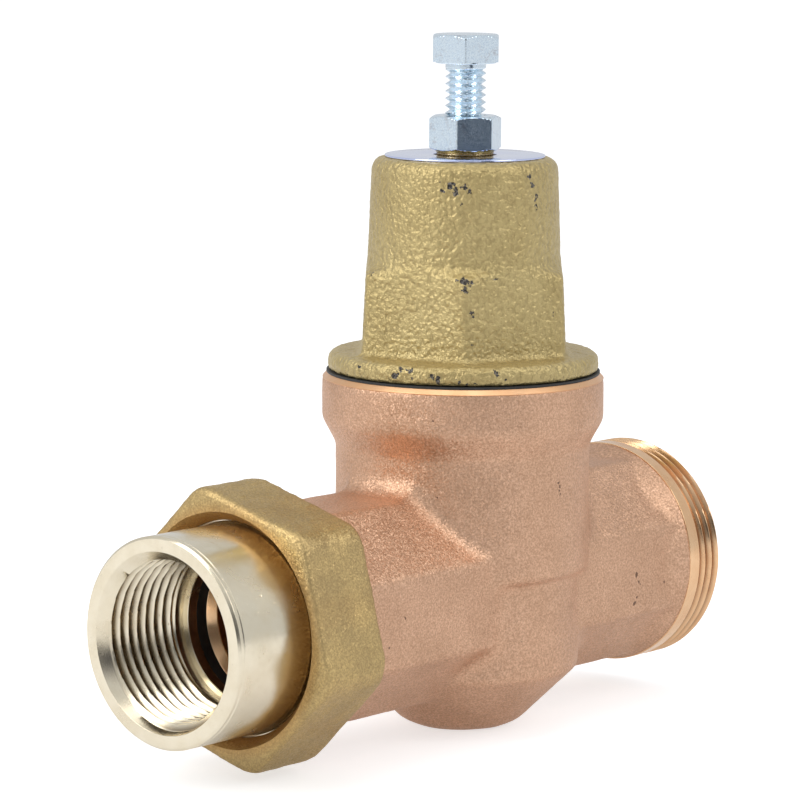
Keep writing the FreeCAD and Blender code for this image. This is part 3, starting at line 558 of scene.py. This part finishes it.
# painted shade darkens the grooves of the pipe thread in the tailpiece's mouth
TAIL_TURNED = turned_metal("tailpiece_brass", (0.80, 0.72, 0.56), (0.74, 0.65, 0.48), 0.22, "X",
                           grooves=(PIPE_R + 0.15, PIPE_R + PIPE_DEPTH, TAIL_LOW[0] + 1.8,
                                    TAIL_BORE_X - 1.5), painted_groove_shade=(0.17, 0.11, 0.05))
INNER_BRASS = turned_metal("inner_brass", (0.76, 0.58, 0.30), (0.66, 0.48, 0.24), 0.25, "Z")
STAINLESS = turned_metal("stainless", (0.62, 0.62, 0.62), (0.54, 0.54, 0.55), 0.25, "Z")
BONNET_PAINT = painted_iron("bonnet_paint")
BRIGHT_PLATE = plated_steel("bright_plate", (0.66, 0.72, 0.98), (0.61, 0.67, 0.93), 0.08)
GOLD_WASHER = plated_steel("gold_washer", (0.72, 0.56, 0.28), (0.62, 0.46, 0.20), 0.22)
ZINC = plated_steel("zinc_steel", (0.80, 0.90, 0.96), (0.62, 0.74, 0.85), 0.17, size=0.3, depth=0.012,
                    stain=(0.36, 0.30, 0.30))
PRESSED = plated_steel("pressed_steel", (0.55, 0.54, 0.52), (0.44, 0.43, 0.42), 0.32)
SPRING = plated_steel("spring_steel", (0.30, 0.30, 0.33), (0.20, 0.20, 0.22), 0.34)
RUBBER = dull_solid("black_rubber", (0.012, 0.012, 0.012), (0.03, 0.03, 0.03), 0.6)
FIBRE = dull_solid("fibre", (0.28, 0.07, 0.04), (0.18, 0.04, 0.03), 0.7)

# ---------------------------------------------------------------- pieces


def with_material(piece, material):
    """The piece, with one material all over."""
    piece.data.materials.clear()
    piece.data.materials.append(material)
    return piece


def finish_piece(piece, body, nodes, material=None, sharp_degrees=35):
    """Shades a piece, puts it on its body and lets it stand for CAD nodes."""
    if material:
        with_material(piece, material)
    smooth_faces(piece.data, sharp_degrees)
    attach(piece, body)
    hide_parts(*nodes)


def union_end(side):
    """Turned end of a port: shoulder, union thread, end face and the mouth of its bore."""
    end, port = (BODY_LOW, BODY_HIGH)[side > 0][0], PORT_X[side]
    inner = port - side * 4.0
    slope_start, slope_end = (0.9, 0.25) if side > 0 else (INLET_SLOPE + 0.8, 0)
    corners = [
        (inner, PORT_BORE, 0),
        (inner, PORT_FLAT - 1.6, 0),
        (port - side * slope_start, PORT_FLAT - 0.8, 0),
        (port - side * slope_end, UNION_R, 0.15),
        (end - side * 0.8, UNION_R, 0.12),
        (end, UNION_R - 0.8, 0.12),
        (end, PORT_MOUTH, 0.12),
        (end - side * (PORT_MOUTH - PORT_BORE), PORT_BORE, 0.3),
    ]
    outline = filled(rounded(corners), port - side * 0.3, end, PITCH / 16)

    def thread(along, radius, turn):
        depth = helix_depth(side * (along - end), turn * side, PITCH, root=0.20, crest=0.10)
        run = np.clip((side * (along - end) + UNION_RUN) / 0.8, 0, 1)
        cut = np.where(radius > PORT_MOUTH + 4, depth * UNION_DEPTH * run, 0)
        return np.minimum(radius, np.where(cut > 0, UNION_R - cut, radius))

    return with_material(lathe("union_end", "X", outline, 256, thread), BODY_TURNED)


def inlet_stub():
    """Eight-sided end of the inlet port, without the turned slope that the machining leaves on it."""
    start, end, outside = PORT_X[-1] - 1, PORT_X[-1] + 6, 30
    outline = [(end, PORT_BORE), (end, outside), (start, outside), (start, PORT_BORE)]

    def shape(along, radius, turn):
        flat = polygon_radius(turn, PORT_FLAT, 8, FULL_TURN / 16, 0.1)
        return np.where(radius > PORT_BORE + 1, flat, radius)

    return lathe("inlet_stub", "X", outline, 320, shape)


def make_body():
    """The casting, with its turned ends and rim."""
    body = plain_copy("valve_body", "body_casting")
    inner = PORT_X[-1] + INLET_SLOPE + 0.4
    slope_cutter = block("slope_cutter", (inner - 20, -CUTTER_Y, -CUTTER_Z), (inner, CUTTER_Y, CUTTER_Z))
    combine(body, slope_cutter, "DIFFERENCE")
    combine(body, inlet_stub(), "UNION")
    with_material(soften(body, voxel=0.62, passes=9, wobble=0.06, wobble_size=5.0), BRONZE)
    for side in (-1, 1):
        span = sorted((PORT_X[side] - side * 0.25, PORT_X[side] + side * 12))
        cutter = block("port_cutter", (span[0], -CUTTER_Y, -CUTTER_Z), (span[1], CUTTER_Y, CUTTER_Z))
        combine(body, with_material(cutter, BRONZE), "DIFFERENCE")
        combine(body, union_end(side), "UNION")
    turned_low = RIM_Z - RIM_CHAMFER - 0.1
    cutter = block("rim_cutter", (-CUTTER_Y, -CUTTER_Y, turned_low), (CUTTER_Y, CUTTER_Y, RIM_Z + 4))
    combine(body, with_material(cutter, BRONZE), "DIFFERENCE")
    rim = rounded([
        (RIM_Z - 2.0, RIM_BORE, 0),
        (RIM_Z - 2.0, COLLAR_R - 0.9, 0),
        (turned_low, COLLAR_R - 0.02, 0),
        (RIM_Z, COLLAR_R - RIM_CHAMFER, 0.12),
        (RIM_Z, RIM_BORE, 0),
    ])
    combine(body, with_material(lathe("rim", "Z", rim, 224), RIM_TURNED), "UNION")
    finish_piece(body, "housing", ["valve_body"])


def make_tailpiece():
    """Turned tailpiece: outside, collar, and the pipe thread in its mouth."""
    end = TAIL_LOW[0]
    mouth = TAIL_MOUTH - PIPE_R
    corners = [
        (end, TAIL_MOUTH, 0.10),
        (end, TAIL_R - 0.45, 0.12),
        (end + 0.45, TAIL_R, 0.15),
        (end + 1.17, TAIL_R, 0.05),
        (end + 1.35, TAIL_R - 0.16, 0.03),
        (end + 1.53, TAIL_R, 0.05),
        (TAIL_FLARE_X, TAIL_R, 2.0),
        (TAIL_COLLAR_X, TAIL_FLARE_R, 0.1),
        (TAIL_COLLAR_X, TAIL_COLLAR_R, 0.2),
        (TAIL_HIGH[0], TAIL_COLLAR_R, 0.2),
        (TAIL_HIGH[0], TAIL_BORE, 0.1),
        (TAIL_BORE_X, TAIL_BORE, 0.1),
        (TAIL_BORE_X - PIPE_R + TAIL_BORE, PIPE_R, 0),
        (end + mouth, PIPE_R, 0),
    ]
    start, stop = end + mouth * 0.2, TAIL_BORE_X - 2.4
    outline = filled(rounded(corners), end + mouth * 0.1, TAIL_BORE_X, PITCH / 18)

    def thread(along, radius, turn):
        depth = helix_depth(along - end, -turn, PITCH, root=0.16, crest=0.05)
        run = np.clip((along - start) / 0.5, 0, 1) * np.clip((stop - along) / 1.2, 0, 1)
        inside = (radius < TAIL_MOUTH - 0.05) & (radius > TAIL_BORE + 0.2)
        grooved = PIPE_R + depth * PIPE_DEPTH * run
        return np.where(inside, np.maximum(radius, grooved), radius)

    piece = lathe("tailpiece_turned", "X", outline, 256, thread)
    finish_piece(piece, "tailpiece", ["union_tailpiece"], TAIL_TURNED)


def make_union_nut():
    """Cast hexagon nut. The outside is softened as a solid, with its rear corners cut, and then the
    turned mouth, lip and thread are cut out of it."""
    shell = plain_copy("union_nut", "union_nut_cast")
    front, back = NUT_LOW[0], NUT_HIGH[0]
    plug_r, inset = 23.2, 0.02
    plug = lathe("plug", "X", rounded([
        (front + inset, AXIS_R, 0), (front + inset, plug_r, 0), (back - inset, plug_r, 0),
        (back - inset, AXIS_R, 0)]), 96)
    combine(shell, plug, "UNION")
    corner_trim = lathe("corner_trim", "X", [
        (front - 1, AXIS_R), (front - 1, 28.6), (back - 3.0, 28.6), (back, 26.3), (back + 1, 25.5),
        (back + 1, AXIS_R)], 160)
    combine(shell, corner_trim, "INTERSECT")
    with_material(soften(shell, voxel=0.5, passes=24, wobble=0.12, wobble_size=4.0), NUT_BRASS)
    corners = [
        (front - 1, AXIS_R, 0),
        (front - 1, NUT_MOUTH_R + 0.7, 0),
        (front + 2.6, NUT_LIP_R, 0.5),
        (NUT_LIP_X, NUT_LIP_R, 0.1),
        (NUT_LIP_X, NUT_THREAD_R, 0.3),
        (back - 1.0, NUT_THREAD_R, 0),
        (back + 1.0, NUT_THREAD_R + 2.0, 0),
        (back + 1.0, AXIS_R, 0),
    ]
    outline = filled(rounded(corners), NUT_LIP_X, back, PITCH / 12)

    def thread(along, radius, turn):
        depth = helix_depth(along - BODY_LOW[0] + PITCH / 2, turn, PITCH, root=0.3, crest=0.3)
        run = np.clip((along - NUT_LIP_X - 2.2) / 0.5, 0, 1)
        inside = (radius > NUT_LIP_R + 1) & (along > NUT_LIP_X)
        return np.where(inside, np.maximum(radius, NUT_THREAD_R + 0.8 * depth * run), radius)

    cutter = with_material(lathe("nut_bore", "X", outline, 192, thread), NUT_BRASS)
    combine(shell, cutter, "DIFFERENCE")
    finish_piece(shell, "unionnut", ["union_nut"])


def make_bonnet():
    """Painted spring bonnet."""
    piece = soften(plain_copy("bonnet", "bonnet_casting"), voxel=0.5, passes=22, wobble=0.10,
                   wobble_size=1.3)
    finish_piece(piece, "housing", ["bonnet"], BONNET_PAINT, 80)


def polygon_radius(turn, apothem, sides, start, corner):
    """Distance from the middle of a polygon to its side, with the corners cut back a little."""
    side = np.mod(turn - start, FULL_TURN / sides) - FULL_TURN / sides / 2
    return np.minimum(apothem / np.cos(side), apothem / math.cos(FULL_TURN / sides / 2) - corner)


def hexagon(name, outline, start, slope, low_face, top_face):
    """Hexagon nut or head about Z, turned by start. Outline radii past HEX_INSIDE are drawn in to its
    sides, and the corners are cut by a cone at each end. low_face and top_face are the cones' radii
    there, or 0 for no cone."""
    low = min(p[0] for p in outline)
    top = max(p[0] for p in outline)

    def shape(along, radius, turn):
        edge = polygon_radius(turn, HEAD_APOTHEM, 6, start, 0.07)
        if top_face:
            edge = np.minimum(edge, top_face + (top - along) / slope)
        if low_face:
            edge = np.minimum(edge, low_face + (along - low) / slope)
        return np.where(radius > HEX_INSIDE, edge, radius)

    return lathe(name, "Z", outline, 288, shape)


def make_lock_nut():
    """Hexagon nut with a plain bore, a chamfer at each end of it and cut corners."""
    low, top = LOCK_LOW[2], LOCK_HIGH[2]
    mouth = LOCK_BORE + 0.35
    outline = filled(rounded([
        (low, mouth, 0.05), (low, HEX_OUTSIDE, 0), (top, HEX_OUTSIDE, 0), (top, mouth, 0.05),
        (top - 0.5, LOCK_BORE, 0), (low + 0.5, LOCK_BORE, 0)]), low, top, 0.12)
    piece = hexagon("lock_nut_turned", outline, LOCK_TURN, slope=0.45, low_face=6.0, top_face=6.0)
    finish_piece(piece, "locknut", ["lock_nut"], ZINC, 18)


def make_screw():
    """Screw: head with a washer face, threaded shank and turned point."""
    top, tip = SCREW_HIGH[2], SCREW_LOW[2]
    head = filled([(HEAD_LOW, AXIS_R), (HEAD_LOW, HEX_OUTSIDE), (top, HEX_OUTSIDE), (top, AXIS_R)],
                  HEAD_LOW, top, 0.12)
    piece = hexagon("screw_turned", head, SCREW_TURN, slope=0.6, low_face=0, top_face=6.05)
    washer_low, point_r = HEAD_LOW - HEAD_WASHER, 2.0
    shank = filled(rounded([
        (tip, AXIS_R, 0), (tip, point_r, 0.2), (tip + 1.1, SCREW_R, 0.1),
        (washer_low, SCREW_R, 0), (washer_low, HEAD_WASHER_R, 0.1),
        (HEAD_LOW + 0.4, HEAD_WASHER_R, 0), (HEAD_LOW + 0.4, AXIS_R, 0)]),
        tip, washer_low, SCREW_PITCH / 16)

    def thread(along, radius, turn):
        depth = helix_depth(along - tip, turn, SCREW_PITCH, root=0.1, crest=0.1)
        run = np.clip((HEAD_LOW - 1.2 - along) / 0.6, 0, 1)
        threaded = (radius > point_r + 0.2) & (radius < SCREW_R + 0.01) & (along < washer_low - 0.01)
        return np.where(threaded, np.minimum(radius, SCREW_R - SCREW_DEPTH * depth * run), radius)

    combine(piece, lathe("shank", "Z", shank, 128, thread), "UNION")
    finish_piece(piece, "screw", ["adjusting_screw"], ZINC, 18)


def make_plate_and_washer():
    """The bright plate on the dome, and the washer between it and the lock nut."""
    low, top, rim, bore = PLATE_LOW[2], PLATE_HIGH[2], PLATE_HIGH[0], 6.2
    plate = lathe("cap_plate_pressed", "Z", rounded([
        (low, bore, 0.1), (low, rim, 0.1), (top, rim, 0.18), (top, bore, 0.1)]), 192)
    finish_piece(plate, "housing", ["cap_plate"], BRIGHT_PLATE)
    low, top, rim, bore = WASHER_LOW[2], WASHER_HIGH[2], WASHER_HIGH[0], 4.1
    washer = lathe("nut_washer_turned", "Z", rounded([
        (low, bore, 0.05), (low, rim - 0.25, 0.2), (top - 0.45, rim - 0.2, 0.1), (top - 0.3, rim, 0.05),
        (top - 0.1, rim - 0.25, 0.1), (top, rim - 0.4, 0.1), (top, bore, 0.05)]), 128)
    finish_piece(washer, "washer", ["nut_washer"], GOLD_WASHER)


def bent_copy(node, name, keep_above=None, keep_below=None):
    """Copy of a CAD node, whole or cut at a height, with the cut closed and its place baked into the mesh."""
    piece = add_object(name, frame["nodes"][node].data.copy())
    for height, outer in ((keep_above, False), (keep_below, True)):
        if height is None:
            continue
        work = bmesh.new()
        work.from_mesh(piece.data)
        bmesh.ops.bisect_plane(work, geom=work.verts[:] + work.edges[:] + work.faces[:],
                               plane_co=(0, 0, height), plane_no=(0, 0, 1),
                               clear_outer=outer, clear_inner=not outer)
        bmesh.ops.holes_fill(work, edges=[e for e in work.edges if e.is_boundary])
        work.to_mesh(piece.data)
        work.free()
    piece.data.name = name
    smooth_faces(piece.data, 40)
    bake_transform(piece)
    return piece


def make_soft_parts():
    """The springs and the diaphragm, as copies of their CAD nodes, with the main spring cut in two at its
    middle.
    """
    low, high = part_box("main_spring")
    middle = (low.z + high.z) / 2
    lower = bent_copy("main_spring", "main_spring_lower",
                      keep_below=middle)
    upper = bent_copy("main_spring", "main_spring_upper",
                      keep_above=middle)
    low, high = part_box("return_spring")
    light = bent_copy("return_spring", "return_spring_wire")
    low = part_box("diaphragm")[0]
    sheet = bent_copy("diaphragm", "diaphragm_sheet")
    for piece, node, slot, material in (
            (lower, "main_spring", "spring_steel", SPRING), (upper, "main_spring", "spring_steel", SPRING),
            (light, "return_spring", "spring_steel", SPRING), (sheet, "diaphragm", "black_rubber", RUBBER)):
        with_material(piece, material)
        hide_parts(node)


def paint_cad_nodes():
    """Materials of the CAD nodes that show as they are, by their record slot."""
    by_slot = {m.name: m for m in (BRONZE, NUT_BRASS, TAIL_TURNED, INNER_BRASS, STAINLESS, BONNET_PAINT,
                                   BRIGHT_PLATE, GOLD_WASHER, ZINC, PRESSED, SPRING, RUBBER, FIBRE)}
    for part in frame["record"]["subparts"]:
        node = frame["nodes"][part["node"]]
        for material_slot in node.material_slots:
            material_slot.material = by_slot[part["material_slot"]]


# ---------------------------------------------------------------- stage


def aim(item, target):
    """Turns a lamp towards a point."""
    direction = Vector(target) - item.location
    item.rotation_euler = direction.to_track_quat("-Z", "Y").to_euler()


def make_camera():
    """Camera at the photograph's viewing angle."""
    data = bpy.data.cameras.new("camera")
    data.lens = CAMERA_LENS
    data.sensor_width = 36
    camera = add_object("camera", data)
    back = direction_of(CAMERA_AZIMUTH, CAMERA_ELEVATION)
    turn, roll = math.radians(CAMERA_AZIMUTH), math.radians(CAMERA_ROLL)
    right = Vector((math.cos(turn), math.sin(turn), 0))
    up = back.cross(right)
    right, up = right * math.cos(roll) + up * math.sin(roll), up * math.cos(roll) - right * math.sin(roll)
    matrix = Matrix((right, up, back)).transposed().to_4x4()
    matrix.translation = (CAMERA_AIM + back * CAMERA_DISTANCE) * MM
    camera.matrix_world = matrix
    bpy.context.scene.camera = camera


def softbox(name, azimuth, elevation, distance, size, power):
    """Rectangular lamp aimed at the valve's middle. Distance and size are in metres, power in watts."""
    data = bpy.data.lights.new(name, "AREA")
    data.shape = "RECTANGLE"
    data.size, data.size_y = size
    data.energy = power
    lamp = add_object(name, data)
    lamp.location = direction_of(azimuth, elevation) * distance
    aim(lamp, (0, 0, 0.03))


def make_floor():
    """Round pale floor under the valve. It glows a little, and more where the camera sees it."""
    work = bmesh.new()
    bmesh.ops.create_circle(work, cap_ends=True, radius=14, segments=96)
    mesh = bpy.data.meshes.new("floor")
    work.to_mesh(mesh)
    work.free()
    floor = add_object("floor", mesh)
    floor.location.z = BODY_LOW[2] * MM
    material, tree, shader = new_material("floor_paper")
    set_inputs(tree, shader, Base_Color=(0.62, 0.62, 0.63), Roughness=0.9)
    seen = add(tree, "ShaderNodeLightPath").outputs["Is Camera Ray"]
    glow = fit(tree, seen, 0, 1, 0.30, 0.62)
    paper = add(tree, "ShaderNodeEmission", {"Color": (1, 1, 1, 1), "Strength": glow}).outputs[0]
    surface = add(tree, "ShaderNodeAddShader", {0: shader.outputs[0], 1: paper}).outputs[0]
    tree.links.new(surface, tree.nodes["Material Output"].inputs["Surface"])
    mesh.materials.append(material)


def make_world():
    """Pale surroundings with a dark patch behind the camera, for shiny parts to reflect."""
    world = bpy.data.worlds.new("studio")
    bpy.context.scene.world = world
    world.use_nodes = True
    tree = world.node_tree
    background = tree.nodes["Background"]
    view = add(tree, "ShaderNodeTexCoord").outputs["Generated"]
    towards_camera = add(tree, "ShaderNodeVectorMath",
                         {0: view, 1: direction_of(CAMERA_AZIMUTH, 5)}, operation="DOT_PRODUCT")
    dark = fit(tree, towards_camera.outputs["Value"], 0.86, 0.98)
    tree.links.new(blend_colour(tree, dark, (0.90, 0.92, 0.95), (0.10, 0.10, 0.11)),
                   background.inputs["Color"])
    background.inputs["Strength"].default_value = 0.76


def make_flag():
    """Dark card for the turned metal to reflect. The camera doesn't see it, and it throws no shadow."""
    azimuth, distance, height = CAMERA_AZIMUTH + 31, 0.5, 0.092
    flag = block("flag", (-80, -1, -120), (80, 1, 180))
    flag.location = direction_of(azimuth, 0) * distance + Vector((0, 0, height))
    flag.rotation_euler.z = math.radians(azimuth)
    flag.visible_camera = flag.visible_shadow = False
    material, tree, shader = new_material("flag_cloth")
    set_inputs(tree, shader, Base_Color=(0.02, 0.035, 0.06),
               Roughness=fit(tree, grain(tree, 3.0), 0, 1, 0.7, 1))
    with_material(flag, material)


def make_stage():
    """Floor, surroundings, lamps and the dark card."""
    make_floor()
    make_world()
    softbox("key", CAMERA_AZIMUTH - 62, 38, 0.9, (0.5, 0.7), 4.0)
    softbox("fill", CAMERA_AZIMUTH + 66, 42, 1.0, (0.5, 0.5), 2.4)
    softbox("top", CAMERA_AZIMUTH, 80, 0.9, (0.6, 0.6), 1.2)
    make_flag()
    bpy.context.scene.view_settings.view_transform = "Standard"


make_camera()
make_stage()
paint_cad_nodes()
make_body()
make_tailpiece()
make_union_nut()
make_bonnet()
make_lock_nut()
make_screw()
make_plate_and_washer()
make_soft_parts()
